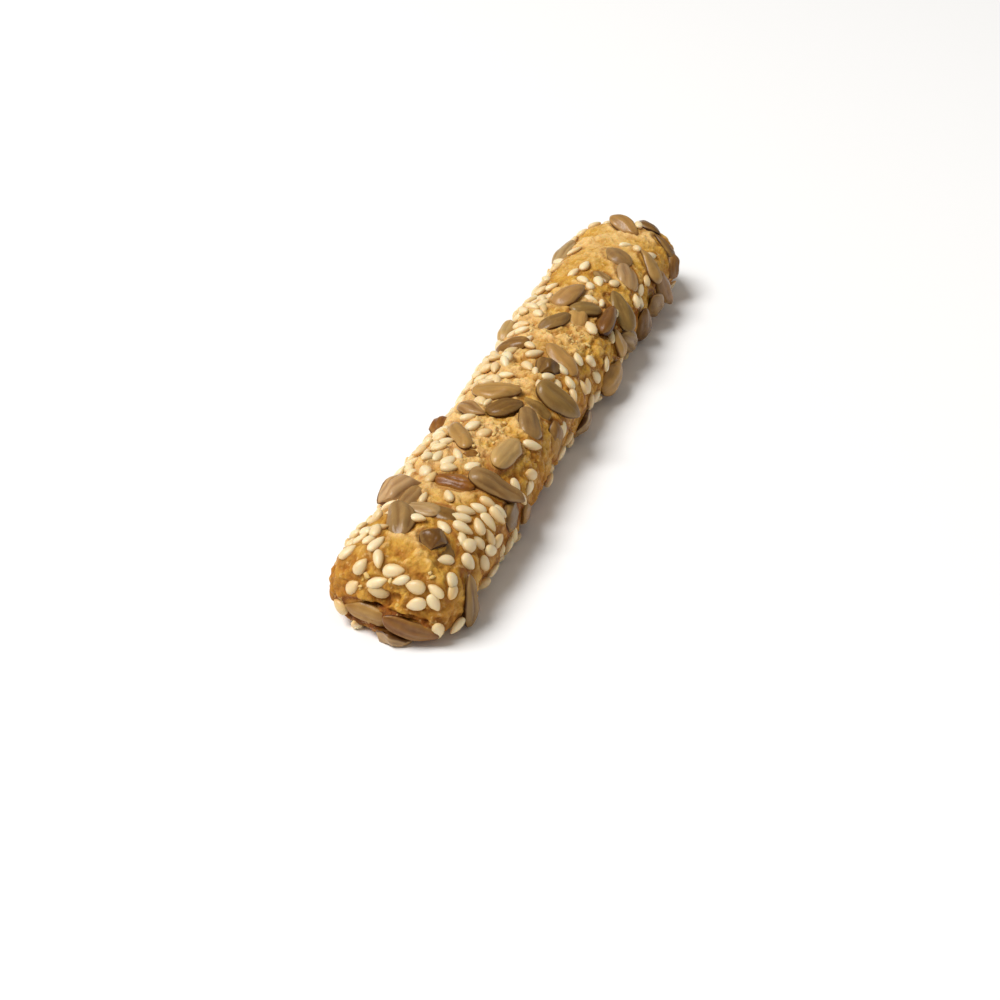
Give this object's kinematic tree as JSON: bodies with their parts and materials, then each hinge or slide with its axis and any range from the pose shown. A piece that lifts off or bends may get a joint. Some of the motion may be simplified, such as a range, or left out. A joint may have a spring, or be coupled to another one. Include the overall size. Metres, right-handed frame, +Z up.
{
  "type": "seeded grissini breadstick",
  "caption": "Thick baked cheese-dough breadstick with a squarer torn end and a rounder end, crusted all over with sunflower kernels and sesame.",
  "frame": {"origin": "middle of the stick's footprint on the surface it lies on", "axes": "+X along the stick from the squarer torn end to the rounder end, +Z up through its crest, +Y to the side across it"},
  "size_m": [0.1388, 0.0266, 0.0165],
  "materials": {
    "baked_dough": "dry crumbly baked cheese dough, golden, browner at the ends and edges",
    "sunflower_kernel": "toasted grey-brown seed skin with a soft sheen and fine lengthwise ridges",
    "sesame": "ivory hulled seed, soft satin, lightly toasted"
  },
  "bodies": {
    "root": {"seeded_breadstick": "baked_dough"}
  },
  "joints": []
}
